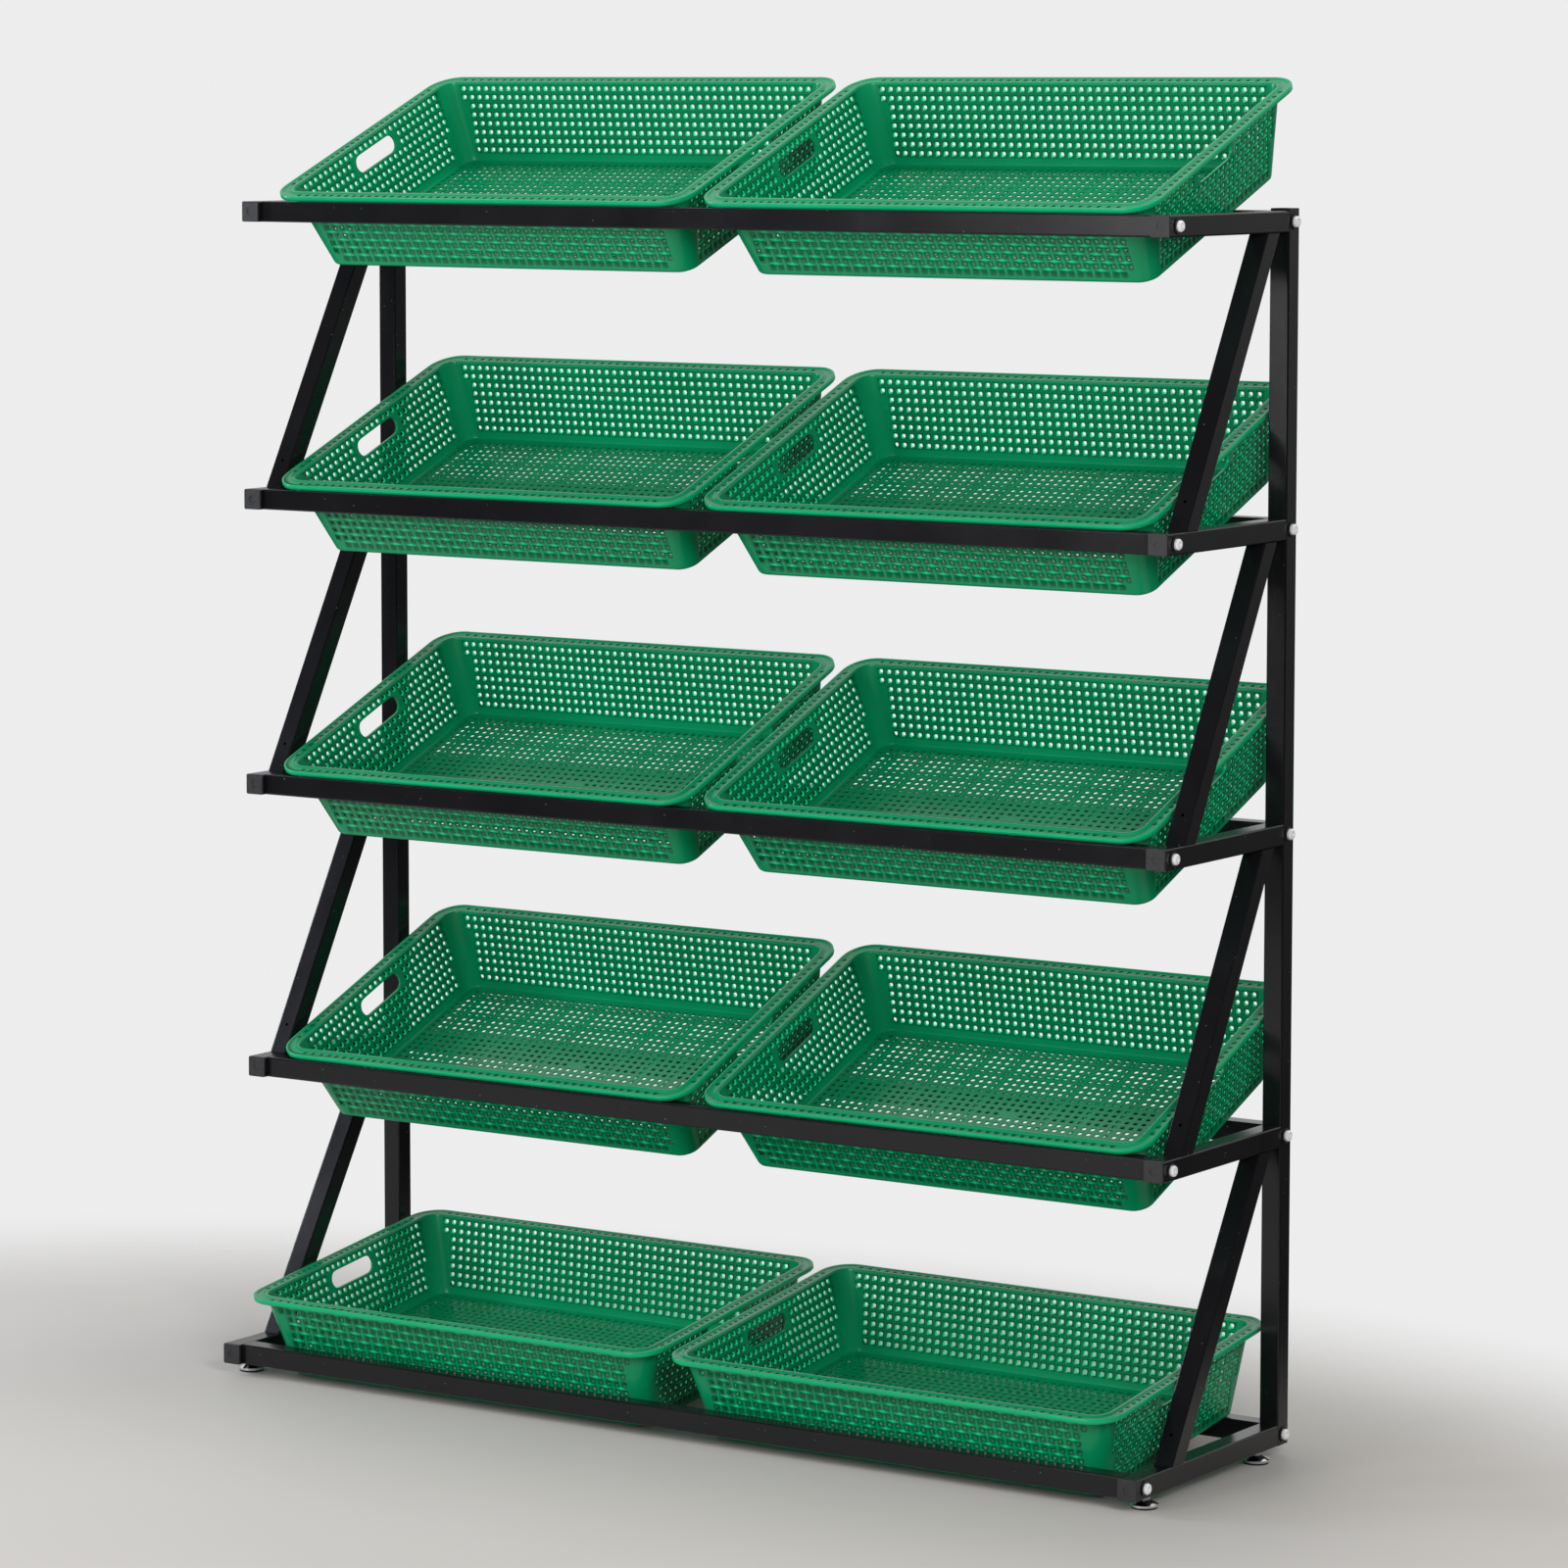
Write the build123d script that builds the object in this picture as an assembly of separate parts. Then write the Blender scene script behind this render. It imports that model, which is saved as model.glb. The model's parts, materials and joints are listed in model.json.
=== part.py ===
from build123d import *
import os
from math import atan2, cos, degrees, hypot, radians, sin, tan

# Square steel tube of the whole frame
tube = 25.0
tube_wall = 1.2
tube_corner = 2.0
tube_inner_corner = 0.8

# Basket, moulded in one piece
basket_length = 612.0
basket_depth = 386.0
basket_height = 107.0
basket_wall = 2.5
basket_draft = 11.0
wall_corner = 20.5
floor_edge = 5.0
rim_width = 15.0
rim_plate = 2.5
rim_lip = 6.0
lip_wall = 2.5
hand_slot_length = 84.0
hand_slot_height = 22.0
hand_slot_drop = 24.6

# Basket floor, raised on ribs that follow the pitch of the moulded pattern
floor_plate = 2.5
floor_rise = 5.5
floor_skirt = 6.0
floor_rib = 3.0
length_pitch = 11.61
depth_pitch = 10.97
length_rib_steps = [4.5, 8.5, 12.5, 16.5, 20.5]
depth_rib_steps = [4, 8, 12]

# Openings in the walls and the floor, one for each block of the moulded pattern's small holes
opening = 24.0
opening_drops = [24.6, 68.8]
slot_margin = 5.0
length_opening_steps = [2, 6, 10, 14, 18]
depth_opening_steps = [0, 4, 8, 12]
length_floor_steps = [2.25, 6.5, 10.5, 14.5, 18.5]
depth_floor_steps = [2, 6, 10]

# Baskets in the stand
basket_gap = 18.0
basket_side_gap = 9.0
seat_gap = 0.3
basket_ground_gap = 1.5

# Side frames and rails
tier_count = 5
tier_pitch = 354.0
upper_reach = 276.0
bottom_reach = 330.0
rail_setback = 7.0

# Braces, placed by their centre lines
brace_top_gap = 35.0
upper_brace_base = 57.5
bottom_brace_base = 95.0
drain_hole = 4.0
drain_hole_rise = 30.0

# Bolts, washers and the threaded plugs in the rails' ends
bolt = 8.0
bolt_head = 13.0
bolt_head_height = 4.5
bolt_head_round = 2.5
bolt_socket = 5.0
bolt_socket_depth = 2.0
bolt_hole_play = 0.5
bolt_grip = 14.0
washer = 18.0
washer_thickness = 1.5
plug_length = 20.0
fit_gap = 0.05

# Plastic end caps
cap_flange = 3.0
cap_round = 0.8
cap_dimple = 9.0
cap_dimple_depth = 0.5
cap_bolt_gap = 0.5

# Levelling feet
sole = 30.0
sole_height = 2.5
sole_round = 0.6
disc = 32.0
disc_height = 7.0
disc_edge = 2.5
disc_hub = 15.0
foot_gap = 0.8
nut_across = 13.0
lock_nut_height = 4.7
weld_nut_height = 6.5
stem_top_gap = 3.0
front_foot_inset = 40.0
rear_foot_gap = 30.0

# Hexagons, and the search for the baskets' tilt
hexagon_sides = 6
steepest_tilt = 45.0
tilt_halvings = 50

# Sizes that follow from those above
stand_width = 2 * (tube + basket_side_gap + basket_length) + basket_gap
side_x = stand_width / 2 - tube / 2
rail_length = stand_width - 2 * tube
basket_x = (basket_length + basket_gap) / 2
foot_height = sole_height + disc_height + foot_gap + lock_nut_height
tier_tops = [foot_height + tube + tier_pitch * tier for tier in range(tier_count)]
tube_inside = tube - 2 * tube_wall
bolt_hole = bolt + 2 * bolt_hole_play
cap_plug = tube / 2 - bolt_hole / 2 - cap_flange - cap_bolt_gap
thread_bore = bolt + 2 * fit_gap
rim_overhang = rim_width + basket_height * tan(radians(basket_draft))
floor_top = floor_rise + floor_plate
sides = {"left": -1, "right": 1}


# Front of a tier's arms, measured from the front face of the posts
def arm_front(tier):
    return -bottom_reach if tier == 0 else -upper_reach


# Height of the centre line of a tier's arms and rails
def arm_middle(tier):
    return tier_tops[tier] - tube / 2


# Centre line of a tier's front rail
def front_rail_y(tier):
    return arm_front(tier) + rail_setback + tube / 2


# Square tube standing on its own end
def square_tube(length):
    outer = RectangleRounded(tube, tube, tube_corner)
    inner = RectangleRounded(tube_inside, tube_inside, tube_inner_corner)
    return extrude(outer - inner, amount=length)


# Round cutter across a side frame
def cross_hole():
    return Rot(0, 90, 0) * Cylinder(bolt_hole / 2, 2 * tube)


# Rear post with a bolt hole at every tier
def post(side):
    low = foot_height + cap_flange
    body = Pos(side * side_x, tube / 2, low) * square_tube(tier_tops[-1] - low)
    for tier in range(tier_count):
        body -= Pos(side * side_x, tube / 2, arm_middle(tier)) * cross_hole()
    return body


# Places of the two feet along a bottom arm
def foot_places():
    return {"front": -bottom_reach + front_foot_inset, "rear": -rear_foot_gap}


# Arm from the post to its end cap, with its bolt hole and, on the bottom tier, its stem holes
def arm(side, tier):
    start = arm_front(tier) + cap_flange
    body = Pos(side * side_x, start, arm_middle(tier)) * Rot(-90, 0, 0) * square_tube(-start)
    body -= Pos(side * side_x, front_rail_y(tier), arm_middle(tier)) * cross_hole()
    if tier == 0:
        for y in foot_places().values():
            body -= Pos(side * side_x, y, foot_height) * Cylinder(bolt_hole / 2, tube)
    return body


# Slanted brace cut level at both ends, with a drain hole low in its front wall
def brace(side, tier):
    base_y = arm_front(tier) + (bottom_brace_base if tier == 0 else upper_brace_base)
    low = tier_tops[tier]
    rise = tier_tops[tier + 1] - tube - low
    run = -brace_top_gap - base_y
    lean = degrees(atan2(run, rise))
    length = hypot(run, rise)
    body = Pos(0, 0, -tube) * square_tube(length + 2 * tube)
    body -= Pos(0, -tube / 2, drain_hole_rise) * Rot(90, 0, 0) * Cylinder(drain_hole / 2, tube)
    body = Pos(side * side_x, base_y, low) * Rot(-lean, 0, 0) * body
    slab = Pos(side * side_x, base_y + run / 2, low + rise / 2) * Box(2 * tube, 2 * length, rise)
    return body & slab


# Rail between the two side frames
def rail(y, z):
    return Pos(-rail_length / 2, y, z) * Rot(0, 90, 0) * square_tube(rail_length)


# Hexagon given by the distance across its flats
def hexagon(across):
    return RegularPolygon(across / 2, hexagon_sides, major_radius=False)


# Bolt pointing inwards, its washer's face at the origin
def rail_bolt():
    head = Pos(0, 0, washer_thickness + bolt_head_height / 2) * Cylinder(bolt_head / 2, bolt_head_height)
    head = fillet(head.edges().sort_by(Axis.Z)[-1], bolt_head_round)
    top = washer_thickness + bolt_head_height
    socket = extrude(hexagon(bolt_socket), amount=-bolt_socket_depth)
    reach = washer_thickness + tube + bolt_grip
    shank = Pos(0, 0, washer_thickness - reach / 2) * Cylinder(bolt / 2, reach)
    return head - Pos(0, 0, top) * socket + shank


# Washer between a bolt's head and the tube
def bolt_washer():
    ring = Circle(washer / 2) - Circle(bolt / 2 + fit_gap)
    return extrude(ring, amount=washer_thickness)


# Threaded plug fixed in a rail's end, reaching inwards from the rail's end face
def rail_plug():
    outside = tube_inside - 2 * fit_gap
    face = RectangleRounded(outside, outside, tube_inner_corner) - Circle(thread_bore / 2)
    return Pos(0, 0, -tube) * extrude(face, amount=-plug_length)


# Puts copies of a fastener on the outer faces of both side frames
def on_both_sides(shape, places):
    turn = {-1: Rot(0, -90, 0), 1: Rot(0, 90, 0)}
    out = []
    for side in sides.values():
        for y, z in places:
            out.append(Pos(side * stand_width / 2, y, z) * turn[side] * shape)
    return out


# End cap facing up, its flange seated on the tube's end at the origin
def end_cap():
    flange = extrude(RectangleRounded(tube, tube, tube_corner), amount=cap_flange)
    flange = fillet(flange.faces().sort_by(Axis.Z)[-1].edges(), cap_round)
    inside = tube_inside - 2 * fit_gap
    plug = extrude(RectangleRounded(inside, inside, tube_inner_corner), amount=-cap_plug)
    dimple = Pos(0, 0, cap_flange - cap_dimple_depth / 2) * Cylinder(cap_dimple / 2, cap_dimple_depth)
    return flange - dimple + plug


# Caps in the front ends of the arms
def arm_caps():
    out = []
    for side in sides.values():
        for tier in range(tier_count):
            place = Pos(side * side_x, arm_front(tier) + cap_flange, arm_middle(tier))
            out.append(place * Rot(90, 0, 0) * end_cap())
    return out


# Caps in both ends of the posts
def post_caps():
    out = []
    for side in sides.values():
        out.append(Pos(side * side_x, tube / 2, tier_tops[-1]) * end_cap())
        out.append(Pos(side * side_x, tube / 2, foot_height + cap_flange) * Rot(180, 0, 0) * end_cap())
    return out


# Hexagonal nut on the feet's thread, standing on its lower face
def thread_nut(height):
    return extrude(hexagon(nut_across) - Circle(thread_bore / 2), amount=height)


# Copies of a nut above every foot
def at_every_foot(shape, z):
    return [Pos(side * side_x, y, z) * shape for side in sides.values() for y in foot_places().values()]


# Plated foot: a flared disc with its threaded stem
def foot(side, y):
    top = sole_height + disc_height
    profile = Polyline(
        (0, sole_height),
        (disc / 2, sole_height),
        (disc / 2, sole_height + disc_edge),
        (disc_hub / 2, top),
        (0, top),
        close=True,
    )
    flare = revolve(Plane.XZ * make_face(profile), Axis.Z)
    stem_top = foot_height + tube - tube_wall - stem_top_gap
    stem = Pos(0, 0, (top + stem_top) / 2) * Cylinder(bolt / 2, stem_top - top)
    return Pos(side * side_x, y, 0) * (flare + stem)


# Dark sole under a foot
def foot_sole(side, y):
    pad = Pos(0, 0, sole_height / 2) * Cylinder(sole / 2, sole_height)
    pad = fillet(pad.edges().sort_by(Axis.Z)[0], sole_round)
    return Pos(side * side_x, y, 0) * pad


# Tapered tub with flat walls and rounded corners, opening upwards; inset moves its walls inwards
def tub(low, inset):
    rise = basket_height - low
    draft = radians(basket_draft)
    narrower = rim_overhang - low * tan(draft) + inset
    body = Pos(0, 0, low + rise / 2) * Box(basket_length, basket_depth, rise)
    for side in sides.values():
        across = Plane((side * (basket_length / 2 - narrower), 0, low), z_dir=(side * cos(draft), 0, -sin(draft)))
        body = split(body, bisect_by=across, keep=Keep.BOTTOM)
        along = Plane((0, side * (basket_depth / 2 - narrower), low), z_dir=(0, side * cos(draft), -sin(draft)))
        body = split(body, bisect_by=along, keep=Keep.BOTTOM)
    upright = [edge for edge in body.edges() if edge.bounding_box().size.Z > rise / 2]
    return fillet(upright, wall_corner - inset)


# Pockets between the ribs under a basket's floor
def floor_pockets():
    inset = 2 * (rim_overhang + floor_skirt)
    length = basket_length - inset
    depth = basket_depth - inset
    pockets = extrude(RectangleRounded(length, depth, wall_corner - floor_skirt), amount=floor_rise)
    for side in sides.values():
        for step in length_rib_steps:
            pockets -= Pos(side * step * length_pitch, 0, floor_rise / 2) * Box(floor_rib, depth, floor_rise)
        for step in depth_rib_steps:
            pockets -= Pos(0, side * step * depth_pitch, floor_rise / 2) * Box(length, floor_rib, floor_rise)
    return pockets


# Places at the given steps of a pitch, on both sides of the middle
def mirrored(steps, pitch):
    return sorted({side * step * pitch for side in sides.values() for step in steps})


# Square cutter for an opening, reaching both ways from the middle
def opening_cutter(reach):
    return extrude(Rectangle(opening, opening), reach, both=True)


# Cutters for all openings of a basket, clear of its hand slots
def opening_cutters():
    out = []
    beside_slot = hand_slot_length / 2 + slot_margin + opening / 2
    for drop in opening_drops:
        up = basket_height - drop
        beside = beside_slot if abs(drop - hand_slot_drop) < opening else 0
        for place in mirrored(length_opening_steps, length_pitch):
            out.append(Pos(place, 0, up) * Rot(90, 0, 0) * opening_cutter(basket_depth))
        for place in mirrored(depth_opening_steps, depth_pitch):
            if abs(place) >= beside:
                out.append(Pos(0, place, up) * Rot(0, 90, 0) * opening_cutter(basket_length))
    for along in mirrored(length_floor_steps, length_pitch):
        for across in mirrored(depth_floor_steps, depth_pitch):
            out.append(Pos(along, across, 0) * opening_cutter(2 * floor_top))
    return out


# Basket on its own ribs, centred, with its rim, lip, openings and two hand slots
def basket():
    rim_corner = wall_corner + rim_width
    rim = RectangleRounded(basket_length, basket_depth, rim_corner)
    lip_inset = 2 * lip_wall
    inside = RectangleRounded(basket_length - lip_inset, basket_depth - lip_inset, rim_corner - lip_wall)
    shell = tub(0, 0)
    shell = fillet(shell.faces().sort_by(Axis.Z)[0].edges(), floor_edge)
    shell += Pos(0, 0, basket_height - rim_plate) * extrude(rim, amount=rim_plate)
    shell += Pos(0, 0, basket_height - rim_lip) * extrude(rim - inside, amount=rim_lip)
    shell -= tub(floor_top, basket_wall)
    shell -= floor_pockets()
    slot = extrude(SlotOverall(hand_slot_length, hand_slot_height, rotation=90), basket_length, both=True)
    slot = Pos(0, 0, basket_height - hand_slot_drop) * Rot(0, 90, 0) * slot
    return shell - [slot, *opening_cutters()]


# Point of the side view, in the frame, of a point (along, up) of a basket whose heel and tilt are given
def side_point(heel, tilt, along, up):
    return heel[0] + along * cos(tilt) - up * sin(tilt), heel[1] + along * sin(tilt) + up * cos(tilt)


# Heel of a tilted basket whose front wall and floor just clear the rounded edges of both rails.
# The heel is where the planes of the front wall and of the ribs' undersides meet.
def heel_between(tier, tilt):
    draft = radians(basket_draft)
    clear = tube_corner + seat_gap
    edge_z = tier_tops[tier] - tube_corner
    front_edge_y = front_rail_y(tier) + tube / 2 - tube_corner
    up = -tube_corner * sin(tilt) + edge_z * cos(tilt) + clear
    front_along = front_edge_y * cos(tilt) + edge_z * sin(tilt)
    front_up = -front_edge_y * sin(tilt) + edge_z * cos(tilt)
    along = front_along + (clear + (front_up - up) * sin(draft)) / cos(draft)
    return side_point((0, 0), tilt, along, up)


# How far a tier's basket stands above its last rest: the lip on the front rail, or the ground gap
def rest_height(tier, tilt):
    heel = heel_between(tier, tilt)
    if tier == 0:
        return heel[1] - basket_ground_gap
    lip = side_point(heel, tilt, -rim_overhang, basket_height - rim_lip)
    return lip[1] - tier_tops[tier] - seat_gap


# Tilt at which a tier's basket comes to rest, found by halving
def basket_tilt(tier):
    low = 0.0
    high = radians(steepest_tilt)
    for _ in range(tilt_halvings):
        middle = (low + high) / 2
        if rest_height(tier, middle) > 0:
            low = middle
        else:
            high = middle
    return low


# Place of a basket on a tier, which carries a basket that is centred on its own ribs
def basket_seat(side, tier):
    tilt = basket_tilt(tier)
    heel = heel_between(tier, tilt)
    to_heel = Pos(0, basket_depth / 2 - rim_overhang, 0)
    return Pos(side * basket_x, heel[0], heel[1]) * Rot(degrees(tilt), 0, 0) * to_heel


# Every named piece, with the front face of the posts at y = 0 and the ground at z = 0
def all_pieces():
    tiers = range(tier_count)
    front = [(front_rail_y(tier), arm_middle(tier)) for tier in tiers]
    rear = [(tube / 2, arm_middle(tier)) for tier in tiers]
    moulding = basket()
    pieces = {}
    for name, side in sides.items():
        pieces[f"{name}_post"] = post(side)
        for tier in tiers:
            pieces[f"{name}_arm_{tier + 1}"] = arm(side, tier)
            pieces[f"{name}_basket_{tier + 1}"] = basket_seat(side, tier) * moulding
        for tier in range(tier_count - 1):
            pieces[f"{name}_brace_{tier + 1}"] = brace(side, tier)
        for end, y in foot_places().items():
            pieces[f"{end}_{name}_foot"] = foot(side, y)
            pieces[f"{end}_{name}_foot_sole"] = foot_sole(side, y)
    for tier in tiers:
        pieces[f"front_rail_{tier + 1}"] = rail(*front[tier])
        pieces[f"rear_rail_{tier + 1}"] = rail(*rear[tier])
    pieces["front_bolts"] = Compound(on_both_sides(rail_bolt(), front))
    pieces["rear_bolts"] = Compound(on_both_sides(rail_bolt(), rear))
    pieces["bolt_washers"] = Compound(on_both_sides(bolt_washer(), front + rear))
    pieces["rail_end_plugs"] = Compound(on_both_sides(rail_plug(), front + rear))
    pieces["arm_end_caps"] = Compound(arm_caps())
    pieces["post_end_caps"] = Compound(post_caps())
    weld_nut = thread_nut(weld_nut_height)
    lock_nut = thread_nut(lock_nut_height)
    pieces["foot_weld_nuts"] = Compound(at_every_foot(weld_nut, foot_height + tube_wall))
    pieces["foot_lock_nuts"] = Compound(at_every_foot(lock_nut, foot_height - lock_nut_height))
    return pieces


# The origin lies on the ground, in the middle of the whole stand
stand = all_pieces()
whole = Compound(list(stand.values())).bounding_box()
origin_y = (whole.min.Y + whole.max.Y) / 2
os.makedirs("parts", exist_ok=True)
for piece_name, piece in stand.items():
    export_step(Pos(0, -origin_y, 0) * piece, f"parts/{piece_name}.step")
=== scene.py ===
"""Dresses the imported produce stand: perforated baskets, painted tube, fittings, floor, light and camera."""

import json
import logging
import math
from dataclasses import dataclass, field
from enum import Enum

import bmesh
import bpy
import numpy as np
from mathutils import Euler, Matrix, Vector

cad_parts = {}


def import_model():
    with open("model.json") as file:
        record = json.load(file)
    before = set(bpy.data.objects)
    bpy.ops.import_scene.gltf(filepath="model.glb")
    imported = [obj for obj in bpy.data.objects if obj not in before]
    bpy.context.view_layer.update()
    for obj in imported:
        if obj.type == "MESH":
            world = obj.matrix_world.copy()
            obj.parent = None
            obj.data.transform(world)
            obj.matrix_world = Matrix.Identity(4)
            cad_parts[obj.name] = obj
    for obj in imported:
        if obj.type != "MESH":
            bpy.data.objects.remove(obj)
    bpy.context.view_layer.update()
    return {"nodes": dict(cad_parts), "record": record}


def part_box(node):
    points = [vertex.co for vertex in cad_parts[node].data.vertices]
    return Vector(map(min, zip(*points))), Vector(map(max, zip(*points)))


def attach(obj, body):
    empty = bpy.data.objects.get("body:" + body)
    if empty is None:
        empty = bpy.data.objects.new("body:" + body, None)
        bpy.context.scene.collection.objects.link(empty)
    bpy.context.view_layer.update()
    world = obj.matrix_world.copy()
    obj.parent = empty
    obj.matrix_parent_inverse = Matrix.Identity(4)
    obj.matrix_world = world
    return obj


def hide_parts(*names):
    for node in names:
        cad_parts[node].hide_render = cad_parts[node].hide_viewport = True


LOG = logging.getLogger("produce_stand")
MM = 0.001
QUARTER = math.pi / 2
Mesh = bpy.types.Mesh
Material = bpy.types.Material
Socket = bpy.types.NodeSocket
Ring = list[np.ndarray]
Values = np.ndarray | float
Pair = tuple[float, float]
Grids = tuple[np.ndarray, np.ndarray]
Color = tuple[float, float, float]
Place = tuple[float, float, float]
WHITE: Color = (1.0, 1.0, 1.0)
BOX_FACES = ((0, 1, 3, 2), (4, 6, 7, 5), (0, 4, 5, 1), (2, 3, 7, 6), (0, 2, 6, 4), (1, 5, 7, 3))


class Side(Enum):
    """The four walls of a basket, in the order in which a ring runs round them."""

    FRONT = 0
    RIGHT = 1
    REAR = 2
    LEFT = 3

    @property
    def long(self) -> bool:
        """Whether the wall runs along the basket's length."""
        return self in (Side.FRONT, Side.REAR)


class Skin:
    """Collects patches of points and faces, and joins them into one mesh."""

    join = 1e-4
    join_shift = 0.37

    def __init__(self) -> None:
        """Starts an empty skin."""
        self.points: list[np.ndarray] = []
        self.painted_lights: list[np.ndarray] = []
        self.faces: list[np.ndarray] = []
        self.face_painted_lights: list[float | None] = []
        self.crisp: list[np.ndarray] = []
        self.count = 0

    def add(self, points: np.ndarray, painted_light: Values = 1.0) -> np.ndarray:
        """Adds a block of points.

        Args:
            points: Array of any shape whose last axis holds the three coordinates.
            painted_light: Factor of the colour that paints light: below one it paints shade in hollows, above one it
                paints highlights on crests.

        Returns:
            The index of every point, in the shape of the block.
        """
        flat = points.reshape(-1, 3)
        index = np.arange(self.count, self.count + len(flat)).reshape(points.shape[:-1])
        self.points.append(flat)
        self.painted_lights.append(np.broadcast_to(painted_light, index.shape).ravel())
        self.count += len(flat)
        return index

    def face(self, *corners: np.ndarray, painted_light: float | None = None) -> None:
        """Adds one face for every element of the corner index arrays.

        Args:
            corners: Index arrays of one shape, in order round the face.
            painted_light: Factor of painted light and shade all over these faces, in place of their points' own.
        """
        self.faces.append(np.stack([np.ravel(corner) for corner in corners], axis=1))
        self.face_painted_lights.append(painted_light)

    def sheet(self, grid: np.ndarray) -> None:
        """Adds the quads of a grid of indices."""
        self.face(grid[:-1, :-1], grid[1:, :-1], grid[1:, 1:], grid[:-1, 1:])

    def loop(self, first: np.ndarray, second: np.ndarray, painted_light: float | None = None) -> None:
        """Adds the quads between two closed lines.

        Args:
            first: Indices of one line along its last axis.
            second: Indices of the other line.
            painted_light: Factor of painted light and shade all over these faces, in place of their points' own.
        """
        after_first = np.roll(first, -1, axis=-1)
        after_second = np.roll(second, -1, axis=-1)
        self.face(first, after_first, after_second, second, painted_light=painted_light)

    def band(self, first: Ring, second: Ring) -> None:
        """Adds the faces between two rings; a segment with three steps to the other's one gets six-sided faces.

        Args:
            first: Ring whose segments may be the finer ones.
            second: Ring with the same segments.
        """
        for fine, coarse in zip(first, second):
            if len(fine) == len(coarse):
                self.face(fine[:-1], fine[1:], coarse[1:], coarse[:-1])
            else:
                self.face(coarse[:-1], coarse[1:], fine[3::3], fine[2::3], fine[1::3], fine[:-1:3])

    def mesh(self, name: str, smooth_angle: float, crisp_angle: float) -> Mesh:
        """Joins points that coincide, drops unused ones, turns all faces outwards and shades them.

        Args:
            name: Name of the new mesh.
            smooth_angle: Angle in degrees beyond which an edge is sharp.
            crisp_angle: The same for edges between crisp points.

        Returns:
            The mesh, in millimetres and in the shape's own axes.
        """
        points = np.concatenate(self.points)
        key = np.floor(points / self.join + self.join_shift)
        _, first, back = np.unique(key, axis=0, return_index=True, return_inverse=True)
        back = back.ravel()
        corners = np.concatenate([back[block].ravel() for block in self.faces])
        used, corners = np.unique(corners, return_inverse=True)
        mesh = bpy.data.meshes.new(name)
        self.fill(mesh, points[first[used]], corners.ravel())
        crisp = np.zeros(len(first), dtype=bool)
        crisp[back[np.concatenate([block.ravel() for block in self.crisp])]] = True
        self.shade(mesh, crisp[used], smooth_angle, crisp_angle)
        return mesh

    def fill(self, mesh: Mesh, points: np.ndarray, corners: np.ndarray) -> None:
        """Writes points, faces and the painted light and shade of every face corner into a mesh, and turns all faces
        outwards.

        Args:
            mesh: The empty mesh.
            points: The joined points.
            corners: Index of the point at every face corner, face after face.
        """
        totals = np.concatenate([np.full(len(block), block.shape[1]) for block in self.faces])
        starts = np.concatenate([[0], np.cumsum(totals)[:-1]])
        mesh.vertices.add(len(points))
        mesh.vertices.foreach_set("co", points.ravel())
        mesh.loops.add(len(corners))
        mesh.loops.foreach_set("vertex_index", corners.astype(np.int32))
        mesh.polygons.add(len(totals))
        mesh.polygons.foreach_set("loop_start", starts.astype(np.int32))
        mesh.polygons.foreach_set("loop_total", totals.astype(np.int32))
        mesh.update(calc_edges=True)
        own = np.concatenate(self.painted_lights)
        painted_lights = [own[block].ravel() if painted_light is None else np.full(block.size, painted_light)
                 for block, painted_light in zip(self.faces, self.face_painted_lights)]
        # Painted light and shade, stored as a colour factor on every face corner.
        layer = mesh.attributes.new("painted_light", "FLOAT", "CORNER")
        layer.data.foreach_set("value", np.concatenate(painted_lights).astype(np.float32))
        work = bmesh.new()
        work.from_mesh(mesh)
        bmesh.ops.recalc_face_normals(work, faces=work.faces)
        work.to_mesh(mesh)
        work.free()

    @staticmethod
    def shade(mesh: Mesh, crisp: np.ndarray, smooth_angle: float, crisp_angle: float) -> None:
        """Shades a mesh smooth, apart from the edges that fold by more than an angle.

        Args:
            mesh: The mesh.
            crisp: Which of its points are crisp.
            smooth_angle: Angle in degrees beyond which an edge is sharp.
            crisp_angle: The same for edges between crisp points.
        """
        mesh.polygons.foreach_set("use_smooth", np.ones(len(mesh.polygons), dtype=bool))
        ends = np.empty(2 * len(mesh.edges), dtype=np.int32)
        mesh.edges.foreach_get("vertices", ends)
        both = crisp[ends.reshape(-1, 2)].all(axis=1)
        sharp = np.empty((2, len(mesh.edges)), dtype=bool)
        for angle, row in zip((smooth_angle, crisp_angle), sharp):
            mesh.set_sharp_from_angle(angle=math.radians(angle))
            mesh.edges.foreach_get("use_edge_sharp", row)
        mesh.edges.foreach_set("use_edge_sharp", np.where(both, sharp[1], sharp[0]))


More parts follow.
